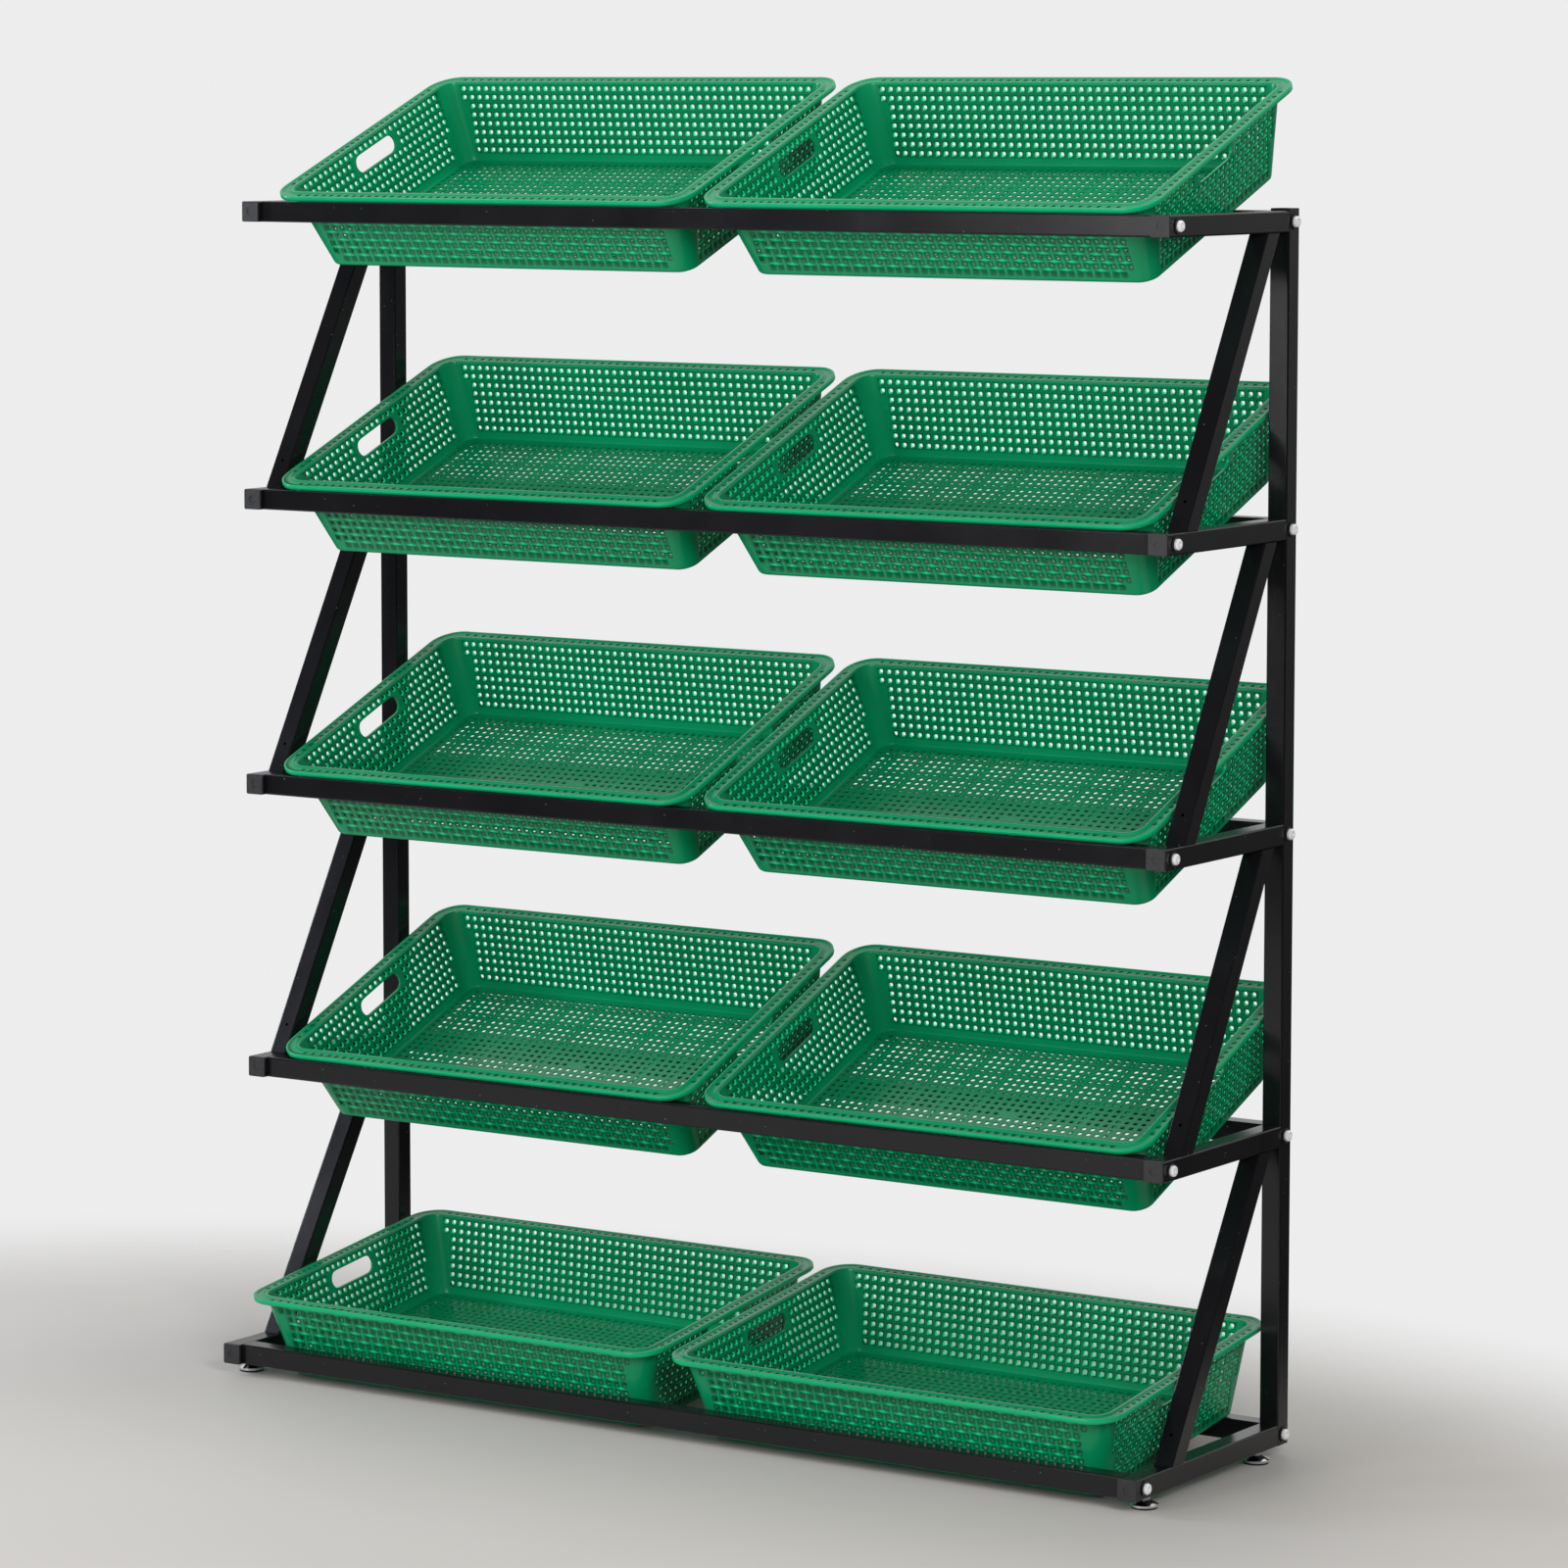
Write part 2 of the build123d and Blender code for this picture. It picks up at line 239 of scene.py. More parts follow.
@dataclass
class BasketShape:
    """Sizes of one moulded basket in millimetres, and the skin worked out from them.

    The basket has its own axes: u along its length, v from its front to its rear, w up from its ribs.
    """

    length: float
    depth: float
    height: float
    # Walls: slope in degrees, thickness and outer corner radius.
    draft: float = 11.0
    wall: float = 3.0
    corner: float = 20.5
    corner_steps: int = 8
    # Columns and rows of cells, with one hole in each.
    long_count: int = 46
    long_pitch: float = 11.61
    short_count: int = 27
    short_pitch: float = 10.97
    row_count: int = 8
    blind_rows: int = 1
    row_pitch: float = 11.05
    row_drop: float = 8.0
    column_room: float = 3.4
    plain_ends: int = 4
    # Holes: widths at the throat, inside, at the mouth and in the floor, and how far their corners reach.
    hole: float = 4.0
    hole_inside: float = 6.4
    mouth: float = 7.2
    floor_hole: float = 6.3
    hole_square: float = 0.82
    # Weave: how far strands stand out or dip, and how deep mouth and throat lie.
    weave_rise: float = 0.25
    weave_fall: float = 0.35
    weave_over: float = 0.1
    weave_under: float = 1.15
    mouth_sink: float = 1.05
    throat_sink: float = 1.2
    # Painted light and shade: factors of the colour, above one for painted highlights and light, below one for painted
    # shade; in pairs for a level strand along the wall and across it.
    painted_light_crossing: Pair = (3.0, 1.35)
    painted_light_along: Pair = (2.25, 0.9)
    painted_light_across: Pair = (0.95, 1.3)
    # Mouth, throat and inside edge of every hole get painted shade.
    painted_shade_mouth: float = 0.5
    painted_shade_throat: float = 0.4
    # Hole flanks painted bright: painted light that stands in for light falling through the holes.
    painted_light_flank: float = 3.0
    painted_shade_inside: float = 0.36
    # The inside face between holes gets painted shade.
    painted_shade_strand: float = 0.85
    # Floor hole edges and notch edges get light painted shade; notch bottoms get deeper painted shade.
    painted_shade_floor: float = 0.8
    painted_shade_notch: float = 0.45
    # Painted highlight along the rim lip's outer face.
    painted_highlight_lip: float = 1.45
    smooth_angle: float = 72.0
    crisp_angle: float = 30.0
    # Rim, its hanging lip, and the channel along its top with a notch in every cell.
    rim: float = 15.0
    rim_corner: float = 35.5
    lip_drop: float = 6.0
    lip_wall: float = 2.5
    edge: float = 0.5
    channel_depth: float = 1.2
    channel_inner: float = 2.6
    channel_outer: float = 11.2
    channel_slope: float = 1.0
    notch: float = 5.6
    notch_depth: float = 0.9
    # Hand slot, in a plain field of the short walls.
    slot_length: float = 84.0
    slot_height: float = 22.0
    slot_columns: int = 9
    slot_rows: tuple[int, int] = (5, 7)
    slot_room: float = 1.6
    # Floor: a plate inside a skirt, on ribs placed by cells counted from its middle.
    floor_rise: float = 6.5
    floor_plate: float = 1.5
    floor_fillet: float = 1.5
    floor_steps: int = 4
    floor_margin: float = 1.6
    skirt: float = 4.2
    skirt_fillet: float = 3.0
    skirt_steps: int = 5
    rib: float = 2.6
    rib_low: float = 3.8
    rib_step: float = 0.2
    rib_sink: float = 0.4
    rib_columns: tuple[float, ...] = (4.5, 8.5, 12.5, 16.5, 20.5)
    rib_rows: tuple[float, ...] = (4.0, 8.0, 12.0)
    gate_radius: float = 9.0
    corner_pull: float = 3.4
    skin: Skin = field(default_factory=Skin)

    def half(self, w: Values, long: bool) -> Values:
        """Half the outer size at height w: the rim's half size less the rim and the draft's share below it."""
        whole = self.length if long else self.depth
        return whole / 2 - self.rim - (self.height - w) * math.tan(math.radians(self.draft))

    def halves(self, w: Values, inset: float) -> tuple[Values, Values]:
        """Half the length and half the depth of the walls at height w, less an inset."""
        return self.half(w, True) - inset, self.half(w, False) - inset

    def pattern(self, long: bool) -> tuple[int, float]:
        """Column count and pitch of a long or a short wall."""
        return (self.long_count, self.long_pitch) if long else (self.short_count, self.short_pitch)

    def cell_lines(self, centre: np.ndarray, pitch: float) -> np.ndarray:
        """Lines that bound cells and their holes, at half a pitch and half a mouth from the cells' middles.

        Args:
            centre: Middles of the cells.
            pitch: Distance between them.

        Returns:
            Three lines for each cell and one more.
        """
        inner = self.mouth / 2 * self.hole_square
        lines = np.stack([centre - pitch / 2, centre - inner, centre + inner], axis=1).ravel()
        return np.append(lines, centre[-1] + pitch / 2)

    def row_lines(self) -> np.ndarray:
        """Heights of the lines that bound the cells and the holes of all rows, from the lowest blind row up."""
        rows = np.arange(self.row_count + self.blind_rows)[::-1]
        return self.cell_lines(self.height - self.row_drop - self.row_pitch * rows, self.row_pitch)

    def lines(self, count: int, pitch: float, end: float, kept: int) -> np.ndarray:
        """Places of the lines that bound the cells and the holes of one row.

        Lines up to the last kept hole follow the pitch, and the rest are spread evenly up to the wall's end.

        Args:
            count: Columns of the full pattern.
            pitch: Distance between columns.
            end: Half the length of the flat wall.
            kept: Columns that hold their place.

        Returns:
            Three lines for each column and one more, symmetric about zero.
        """
        out = self.cell_lines((np.arange(count) - (count - 1) / 2) * pitch, pitch)
        last = 3 * ((count + kept) // 2) - 1
        steps = 3 * count - last
        out[last + 1:] = out[last] + (end - out[last]) * np.arange(1, steps + 1) / steps
        out[:steps] = -out[last + 1:][::-1]
        return out

    def kept(self, long: bool) -> np.ndarray:
        """Number of columns whose holes fit on the flat wall in each row, down from the full count by twos.

        Args:
            long: Whether the wall is a long one.

        Returns:
            The number for every row, from the lowest up.
        """
        count, pitch = self.pattern(long)
        heights = self.row_lines()
        hole_low = (heights[1::3] + heights[2::3]) / 2 - self.hole / 2
        over = (count - 1) / 2 * pitch + self.column_room - (self.half(hole_low, long) - self.corner)
        return count - 2 * np.maximum(0, np.ceil(over / pitch)).astype(int)

    @staticmethod
    def place(side: Side, along: Values, reach: Values, w: Values) -> np.ndarray:
        """Points of a wall from the distance along it, its distance from the middle and the height.

        Args:
            side: The wall.
            along: Distance from the wall's middle, counted the way a ring runs.
            reach: Distance of the wall from the basket's middle.
            w: Height.

        Returns:
            The points, with u, v and w on the last axis.
        """
        along, reach, w = np.broadcast_arrays(along, reach, w)
        u, v = {
            Side.FRONT: (along, -reach),
            Side.RIGHT: (reach, along),
            Side.REAR: (-along, reach),
            Side.LEFT: (-reach, -along),
        }[side]
        return np.stack([u, v, w], axis=-1)

    def arc(self, side: Side, half_u: Values, half_v: Values, radius: float, w: Values) -> np.ndarray:
        """Points of the rounded corner that follows a wall: its centre plus the radius at evenly spread angles.

        Args:
            side: The wall before the corner.
            half_u: Half the length of the rounded rectangle.
            half_v: Half its depth.
            radius: Radius of the corner.
            w: Height.

        Returns:
            Points with the steps of the corner on the first axis.
        """
        half_u, half_v, w = np.broadcast_arrays(half_u, half_v, w)
        turn = np.linspace(0, QUARTER, self.corner_steps + 1) + (side.value - 1) * QUARTER
        turn = turn.reshape((-1,) + (1,) * half_u.ndim)
        sign_u = 1 if side in (Side.FRONT, Side.RIGHT) else -1
        sign_v = 1 if side in (Side.RIGHT, Side.REAR) else -1
        u = sign_u * (half_u - radius) + radius * np.cos(turn)
        v = sign_v * (half_v - radius) + radius * np.sin(turn)
        return np.stack([u, v, np.broadcast_to(w, u.shape)], axis=-1)

    def ring(self, halves: Pair, radius: float, w: float, steps: Grids | None = None, painted_light: float = 1.0) -> Ring:
        """Closed ring along a rounded rectangle.

        Args:
            halves: Half its length and half its depth.
            radius: Radius of its corners.
            w: Height.
            steps: Places of points along a long and a short wall; by default cell-wide and even over a wall's ends.
            painted_light: Factor of the colour that paints light and shade.

        Returns:
            Index arrays of the walls and corners in turn; each corner shares its ends with the walls.
        """
        patterns = self.pattern(True), self.pattern(False)
        steps = steps or tuple(self.lines(count, pitch, half - radius, count - self.plain_ends)[::3]
                               for half, (count, pitch) in zip(halves, patterns))
        out = []
        for side in Side:
            along, reach = (steps[0], halves[1]) if side.long else (steps[1], halves[0])
            out.append(self.skin.add(self.place(side, along, reach, w), painted_light))
            out.append(self.skin.add(self.arc(side, *halves, radius, w), painted_light))
        return out

    def wall_ring(self, w: float, inset: float) -> Ring:
        """Ring on the tapered wall at height w, moved inwards by the inset."""
        return self.ring(self.halves(w, inset), self.corner - inset, w)

    def rim_ring(self, grow: float, w: float) -> Ring:
        """Ring on the rim, which stands out from the wall's top edge; its corner grows towards the rim's own.

        Args:
            grow: Distance outwards from the wall's top edge.
            w: Height.

        Returns:
            The ring, with a painted highlight on the lip's outer face.
        """
        share = grow / self.rim
        radius = self.corner + (share * (self.rim_corner - self.corner) if grow > 0 else grow)
        # The lip's outer face gets a painted highlight.
        painted_highlit = grow > self.rim - self.lip_wall + self.edge
        return self.ring(self.halves(self.height, -grow), radius, w, painted_light=self.painted_highlight_lip if painted_highlit else 1.0)

    def border_ring(self, w: float, row: int, inset: float = 0.0, every: int = 1) -> Ring:
        """Ring that meets the walls at the border of a row, on that row's own lines.

        Args:
            w: Height of the border.
            row: Row whose columns the border follows.
            inset: Distance inwards from the outer wall.
            every: One for all lines, three for the cells' lines alone.

        Returns:
            The ring.
        """
        steps = []
        for long in (True, False):
            end = self.half(w, long) - self.corner
            steps.append(self.lines(*self.pattern(long), end, self.kept(long)[row])[::every])
        return self.ring(self.halves(w, inset), self.corner - inset, w, tuple(steps))

    def relief(self, holes: np.ndarray, plain: float, crossing: Pair, along: Pair, across: Pair) -> np.ndarray:
        """Spreads a value of the moulded weave over the lines of a wall.

        At every crossing between holes one strand runs on level and the other dips under it, by turns.

        Args:
            holes: Which cells of the wall have a hole.
            plain: Value where there is no weave.
            crossing: Values on a crossing whose level strand runs along the wall, and on one where it runs across.
            along: The same beside a crossing, along the wall.
            across: The same beside a crossing, across the wall.

        Returns:
            The value on every line crossing of the wall.
        """
        columns, rows = holes.shape
        out = np.full((3 * columns + 1, 3 * rows + 1), plain)
        near = holes[1:, 1:] & holes[:-1, :-1] & holes[1:, :-1] & holes[:-1, 1:]
        even = np.add.outer(np.arange(columns - 1), np.arange(rows - 1)) % 2 == 0
        for (first, second), a, b in ((crossing, 0, 0), (along, 1, 0), (along, -1, 0), (across, 0, 1), (across, 0, -1)):
            value = np.where(near, np.where(even, first, second), plain)
            out[3 + a:3 * columns - 2 + a:3, 3 + b:3 * rows - 2 + b:3] = value
        return out

    def octagon(self, along: np.ndarray, up: np.ndarray, size: float) -> Grids:
        """Eight points of each squarish hole: corners and edge middles in turn, from the low corner.

        Args:
            along: Middle of each hole along the surface.
            up: Middle of each hole across the surface.
            size: Width of a hole.

        Returns:
            Both coordinates, with the eight points on the last axis.
        """
        outer = size / 2
        inner = outer * self.hole_square
        step = np.array([(-1, -1), (0, -1), (1, -1), (1, 0), (1, 1), (0, 1), (-1, 1), (-1, 0)], dtype=float)
        reach = np.where(np.abs(step).sum(axis=1) > 1, inner, outer)
        return along[:, None] + step[:, 0] * reach, up[:, None] + step[:, 1] * reach

    @staticmethod
    def cell(grid: np.ndarray, i: np.ndarray, j: np.ndarray) -> list[np.ndarray]:
        """The four corners of cells of a grid, in order round each cell."""
        return [grid[i, j], grid[i + 1, j], grid[i + 1, j + 1], grid[i, j + 1]]

    def cell_ring(self, corners: list[np.ndarray], hole: np.ndarray) -> None:
        """Adds the four five-sided faces between a cell's corners and its hole."""
        for turn in range(4):
            after = (turn + 1) % 4
            self.skin.face(corners[turn], corners[after], hole[:, 2 * after], hole[:, 2 * turn + 1], hole[:, 2 * turn])

    def slot_field(self) -> tuple[tuple[int, int], tuple[int, int]]:
        """First and last cell line of the hand slot's plain field, along a short wall and across it."""
        first = (self.short_count - self.slot_columns) // 2
        low, high = (row + self.blind_rows for row in self.slot_rows)
        return (first, first + self.slot_columns), (low, high)

    def wall_face(self, side: Side) -> None:
        """Adds one perforated wall: woven outside, smooth inside, with its holes, blind lowest row and hand slot.

        A row's own lines bound its holes, and on the line between two rows fewer columns hold their place.

        Args:
            side: The wall.
        """
        count, pitch = self.pattern(side.long)
        heights = self.row_lines()
        ends = self.half(heights, side.long) - self.corner
        kept = self.kept(side.long)
        line_kept = np.append(np.repeat(kept, 3), kept[-1])
        line_kept[3:-1:3] = np.minimum(kept[1:], kept[:-1])
        along = np.stack([self.lines(count, pitch, end, keep) for end, keep in zip(ends, line_kept)], axis=1)
        up = np.broadcast_to(heights, along.shape).copy()
        holes = np.abs(np.arange(count) - (count - 1) / 2)[:, None] < kept / 2
        slot = np.zeros_like(holes)
        if not side.long:
            (first, last), (low, high) = self.slot_field()
            slot[first:last, low:high] = True
            up[3 * first:3 * last + 1, 3 * low] -= self.slot_room
            up[3 * first:3 * last + 1, 3 * high] += self.slot_room
        holes &= ~slot
        reach = self.half(up, not side.long)
        depth = self.relief(holes, 0.0, (-self.weave_rise, self.weave_fall), (self.weave_over, self.weave_under),
                            (self.weave_under, self.weave_fall + self.weave_over))
        # Painted highlights on the weave's crests and painted shade in its hollows.
        painted_light = self.relief(holes, 1.0, self.painted_light_crossing, self.painted_light_along, self.painted_light_across)
        # Painted shade on the inside face between holes.
        strand = self.relief(holes, 1.0, *[(self.painted_shade_strand, self.painted_shade_strand)] * 3)
        outer = self.skin.add(self.place(side, along, reach - depth, up), painted_light)
        inner = self.skin.add(self.place(side, along, reach - self.wall, up)[::3, ::3], strand[::3, ::3])
        self.skin.crisp.append(outer)
        self.wall_holes(side, np.nonzero(holes), (along, up), (outer, inner))
        self.plain_cells(~holes & ~slot, (outer, inner))
        if not side.long:
            self.hand_slot(side, (along, up), (outer, inner))

    def wall_holes(self, side: Side, cells: Grids, lines: Grids, grids: Grids) -> None:
        """Adds a wall's holes: a mouth sunk between the strands, a throat, and flanks that flare inwards.

        Holes of the blind rows are closed at their throat.

        Args:
            side: The wall.
            cells: Column and row of every hole.
            lines: Places along and heights of the wall's lines.
            grids: Outer and inner index grids of the wall.
        """
        skin = self.skin
        (i, j), (along, up), (outer, inner) = cells, lines, grids
        p, q = 3 * i, 3 * j
        middle = (along[p + 1, q + 1] + along[p + 2, q + 1]) / 2, (up[p + 1, q + 1] + up[p + 1, q + 2]) / 2

        def around(size: float, sink: float, painted_light: float) -> np.ndarray:
            """Adds the eight points round every hole, at one depth below the wall's outside."""
            hole_along, hole_up = self.octagon(*middle, size)
            return skin.add(self.place(side, hole_along, self.half(hole_up, not side.long) - sink, hole_up), painted_light)

        # Painted shade round each hole's mouth, throat and inside edge.
        mouth = around(self.mouth, self.mouth_sink, self.painted_shade_mouth)
        throat = around(self.hole, self.throat_sink, self.painted_shade_throat)
        inside = around(self.hole_inside, self.wall, self.painted_shade_inside)
        skin.crisp.append(mouth)
        through = j >= self.blind_rows
        skin.loop(mouth, throat)
        skin.face(*throat[~through].T)
        # Flanks painted bright: painted light standing in for light through the holes.
        skin.loop(throat[through], inside[through], self.painted_light_flank)
        self.cell_ring(self.cell(inner, i[through], j[through]), inside[through])
        low_left, low, low_right, right, high_right, high, high_left, left = mouth.T
        skin.face(outer[p, q], outer[p + 1, q], low_left, outer[p, q + 1])
        skin.face(outer[p + 2, q], outer[p + 3, q], outer[p + 3, q + 1], low_right)
        skin.face(high_right, outer[p + 3, q + 2], outer[p + 3, q + 3], outer[p + 2, q + 3])
        skin.face(outer[p, q + 2], high_left, outer[p + 1, q + 3], outer[p, q + 3])
        skin.face(outer[p + 1, q], outer[p + 2, q], low_right, low, low_left)
        skin.face(outer[p + 3, q + 1], outer[p + 3, q + 2], high_right, right, low_right)
        skin.face(outer[p + 2, q + 3], outer[p + 1, q + 3], high_left, high, high_right)
        skin.face(outer[p, q + 2], outer[p, q + 1], low_left, left, high_left)

    def plain_cells(self, plain: np.ndarray, grids: Grids) -> None:
        """Adds a wall's cells that have neither hole nor slot: nine quads outside and one inside.

        Args:
            plain: Which cells are plain.
            grids: Outer and inner index grids of the wall.
        """
        outer, inner = grids
        i, j = np.nonzero(plain)
        for a in range(3):
            for b in range(3):
                self.skin.face(*self.cell(outer, 3 * i + a, 3 * j + b))
        i, j = np.nonzero(plain[:, self.blind_rows:])
        self.skin.face(*self.cell(inner, i, j + self.blind_rows))

    def hand_slot(self, side: Side, lines: Grids, grids: Grids) -> None:
        """Adds the hand slot in the plain field that is left for it.

        Each point of the field's border is carried straight towards the slot's middle line, to the slot's edge.

        Args:
            side: The wall.
            lines: Places along and heights of the wall's lines.
            grids: Outer and inner index grids of the wall.
        """
        columns, rows = self.slot_field()
        (along, up), (outer, inner) = lines, grids

        def border(grid: np.ndarray, step: int) -> np.ndarray:
            """Values round the field's border, in order, without the repeated start."""
            box = grid[step * columns[0]:step * columns[1] + 1, step * rows[0]:step * rows[1] + 1]
            return np.concatenate([box[:-1, 0], box[-1, :-1], box[:0:-1, -1], box[0, :0:-1]])

        edge_along, edge_up = border(along, 3), border(up, 3)
        radius = self.slot_height / 2
        middle = np.clip(edge_along, radius - self.slot_length / 2, self.slot_length / 2 - radius)
        level = (up[0, 3 * rows[0]] + up[0, 3 * rows[1]]) / 2
        turn = np.arctan2(edge_up - level, edge_along - middle)
        slot_along = middle + radius * np.cos(turn)
        slot_up = level + radius * np.sin(turn)
        reach = self.half(slot_up, True)
        rim = self.skin.add(self.place(side, slot_along, reach, slot_up))
        inside = self.skin.add(self.place(side, slot_along, reach - self.wall, slot_up))
        self.skin.loop(border(outer, 3), rim)
        self.skin.loop(rim, inside)
        edge = border(inner, 1)
        after = np.roll(inside, -3)
        self.skin.face(edge, np.roll(edge, -1), after[::3], inside[2::3], inside[1::3], inside[::3])

    def corners(self) -> None:
        """Adds the four smooth corners between the walls, outside on all lines and inside on the cells' lines."""
        heights = self.row_lines()
        low = heights[3 * self.blind_rows::3]
        for side in Side:
            self.skin.sheet(self.skin.add(self.arc(side, *self.halves(heights, 0.0), self.corner, heights)))
            inside = self.arc(side, *self.halves(low, self.wall), self.corner - self.wall, low)
            self.skin.sheet(self.skin.add(inside))

    def rim_bands(self) -> None:
        """Adds the rim: under the flange, round the hanging lip, over the channelled top and down inside."""
        top, under = self.height, self.row_lines()[-1]
        low = top - self.lip_drop
        out, lip = self.rim, self.rim - self.lip_wall
        edge, deep = self.edge, top - self.channel_depth
        profile = [
            (lip, under), (lip, low + edge), (lip + edge, low), (out - edge, low), (out, low + edge),
            (out, top - edge), (out - edge, top), (self.channel_outer + self.channel_slope, top),
            (self.channel_outer, deep), (self.channel_inner, deep), (self.channel_inner - self.channel_slope, top),
            (edge - self.wall, top), (-self.wall, top - edge),
        ]
        before = self.border_ring(under, -1)
        for grow, w in profile:
            after = self.rim_ring(grow, w)
            if grow == self.channel_inner:
                self.notch_band(before, after)
            else:
                self.skin.band(before, after)
            before = after
        self.skin.band(before, self.border_ring(under, -1, self.wall, 3))

    def notch_band(self, first: Ring, second: Ring) -> None:
        """Adds the channel's bottom, with a small blind notch in every cell along the walls.

        Args:
            first: Outer ring of the channel.
            second: Inner ring of the channel.
        """
        points = np.concatenate(self.skin.points)
        across, out = self.octagon(np.zeros(1), np.zeros(1), self.notch)
        for number, (a, b) in enumerate(zip(first, second)):
            corners = [a[:-1], a[1:], b[1:], b[:-1]]
            if number % 2:
                self.skin.face(*corners)
                continue
            middle = sum(points[corner] for corner in corners) / len(corners)
            along = points[a[-1]] - points[a[0]]
            along = along / np.linalg.norm(along)
            inwards = np.cross((0.0, 0.0, 1.0), along)
            upper = middle[:, None] + across[0][:, None] * along + out[0][:, None] * inwards
            # The notch's top edge gets light painted shade and its bottom deeper painted shade.
            top = self.skin.add(upper, self.painted_shade_floor)
            bottom = self.skin.add(upper - (0.0, 0.0, self.notch_depth), self.painted_shade_notch)
            self.cell_ring(corners, top)
            self.skin.loop(top, bottom)
            self.skin.face(*bottom.T)

    @staticmethod
    def quarter_round(radius: float, steps: int) -> list[Pair]:
        """Inset and height of the points of a quarter circle that leads from a wall into a floor."""
        turns = np.linspace(0, QUARTER, steps)
        return [(radius * (1 - math.cos(turn)), radius * (1 - math.sin(turn))) for turn in turns]

    def descend(self, before: Ring, steps: list[Pair]) -> Ring:
        """Adds bands from a ring through further wall rings.

        Args:
            before: The ring to start from.
            steps: Inset and height of each further ring.

        Returns:
            The last ring.
        """
        for inset, w in steps:
            after = self.wall_ring(w, inset)
            self.skin.band(before, after)
            before = after
        return before

    def foot_bands(self) -> tuple[Ring, Ring]:
        """Adds the walls below the lowest row, outside down round the skirt and inside down to the floor.

        Returns:
            The ring under the floor plate and the ring on its top.
        """
        lines = self.row_lines()
        skirt = self.quarter_round(self.skirt_fillet, self.skirt_steps)
        skirt += [(self.skirt, 0.0), (self.skirt, self.floor_rise)]
        under = self.descend(self.border_ring(lines[0], 0), skirt)
        level = self.floor_rise + self.floor_plate
        bowl = [(self.wall + inset, level + w) for inset, w in self.quarter_round(self.floor_fillet, self.floor_steps)]
        border = self.border_ring(lines[3 * self.blind_rows], self.blind_rows - 1, self.wall, 3)
        return under, self.descend(border, bowl)

    def join_floor(self, ring: Ring, grid: np.ndarray) -> None:
        """Adds the border between a ring and the floor's grid: quads along the walls, fans in the corners."""
        borders = [grid[:, 0], grid[-1, :], grid[::-1, -1], grid[0, ::-1]]
        for number, border in enumerate(borders):
            wall, corner = ring[2 * number], ring[2 * number + 1]
            self.skin.face(wall[:-1], wall[1:], border[1:], border[:-1])
            self.skin.face(corner[:-1], corner[1:], np.full(len(corner) - 1, border[-1]))

    def floor(self, under: Ring, over: Ring) -> None:
        """Adds the perforated floor, plain in its corners and round the moulding gate in its middle.

        Args:
            under: Ring under the floor plate.
            over: Ring on the floor plate.
        """
        columns, rows = self.long_count, self.short_count
        u = (np.arange(columns + 1) - columns / 2) * self.long_pitch
        v = (np.arange(rows + 1) - rows / 2) * self.short_pitch
        u_end = self.half(0.0, True) - self.skirt - self.floor_margin
        u[0], u[-1] = -u_end, u_end
        u_grid, v_grid = (grid.copy() for grid in np.meshgrid(u, v, indexing="ij"))
        for grid in (u_grid, v_grid):
            grid[::columns, ::rows] -= self.corner_pull * np.sign(grid[::columns, ::rows])
        column = np.arange(columns) - (columns - 1) / 2
        row = np.arange(rows) - (rows - 1) / 2
        middle_u, middle_v = np.meshgrid(column * self.long_pitch, row * self.short_pitch, indexing="ij")
        plain = np.hypot(middle_u, middle_v) < self.gate_radius
        plain[::columns - 1, ::rows - 1] = True
        i, j = np.nonzero(~plain)
        hole_u, hole_v = self.octagon(middle_u[i, j], middle_v[i, j], self.floor_hole)
        edges = []
        # Painted shade round the holes on top of the floor plate.
        for ring, level, painted_light in ((over, self.floor_rise + self.floor_plate, self.painted_shade_floor),
                                  (under, self.floor_rise, 1.0)):
            grid = self.skin.add(np.stack([u_grid, v_grid, np.full_like(u_grid, level)], axis=-1))
            hole = self.skin.add(np.stack([hole_u, hole_v, np.full_like(hole_u, level)], axis=-1), painted_light)
            self.join_floor(ring, grid)
            self.cell_ring(self.cell(grid, i, j), hole)
            self.skin.face(*self.cell(grid, *np.nonzero(plain)))
            edges.append(hole)
        self.skin.loop(*edges)

    def ribs(self) -> None:
        """Adds the ribs under the floor, plain bars from skirt to skirt that reach a little into the plate."""
        high = self.floor_rise + self.rib_sink
        u_end, v_end = self.halves(0.0, self.skirt - self.rib_sink)
        wide = self.rib / 2
        bars = []
        for sign in (-1, 1):
            bars += [(sign * step * self.long_pitch, 0.0, wide, v_end, self.rib_low) for step in self.rib_columns]
            bars += [(0.0, sign * step * self.short_pitch, u_end, wide, self.rib_low + self.rib_step)
                     for step in self.rib_rows]
        u, v, half_u, half_v, low = np.array(bars).T[:, :, None]
        sign_u, sign_v, side = (axis.ravel() for axis in np.meshgrid((-1, 1), (-1, 1), (0, 1), indexing="ij"))
        w = np.where(side == 1, high, low)
        index = self.skin.add(np.stack([u + sign_u * half_u, v + sign_v * half_v, w], axis=-1))
        for corners in BOX_FACES:
            self.skin.face(*index[:, corners].T)

    def mesh(self, name: str) -> Mesh:
        """Builds the whole basket in its own axes.

        Args:
            name: Name of the mesh.

        Returns:
            The mesh in millimetres.
        """
        for side in Side:
            self.wall_face(side)
        self.corners()
        self.rim_bands()
        under, over = self.foot_bands()
        self.floor(under, over)
        self.ribs()
        return self.skin.mesh(name, self.smooth_angle, self.crisp_angle)


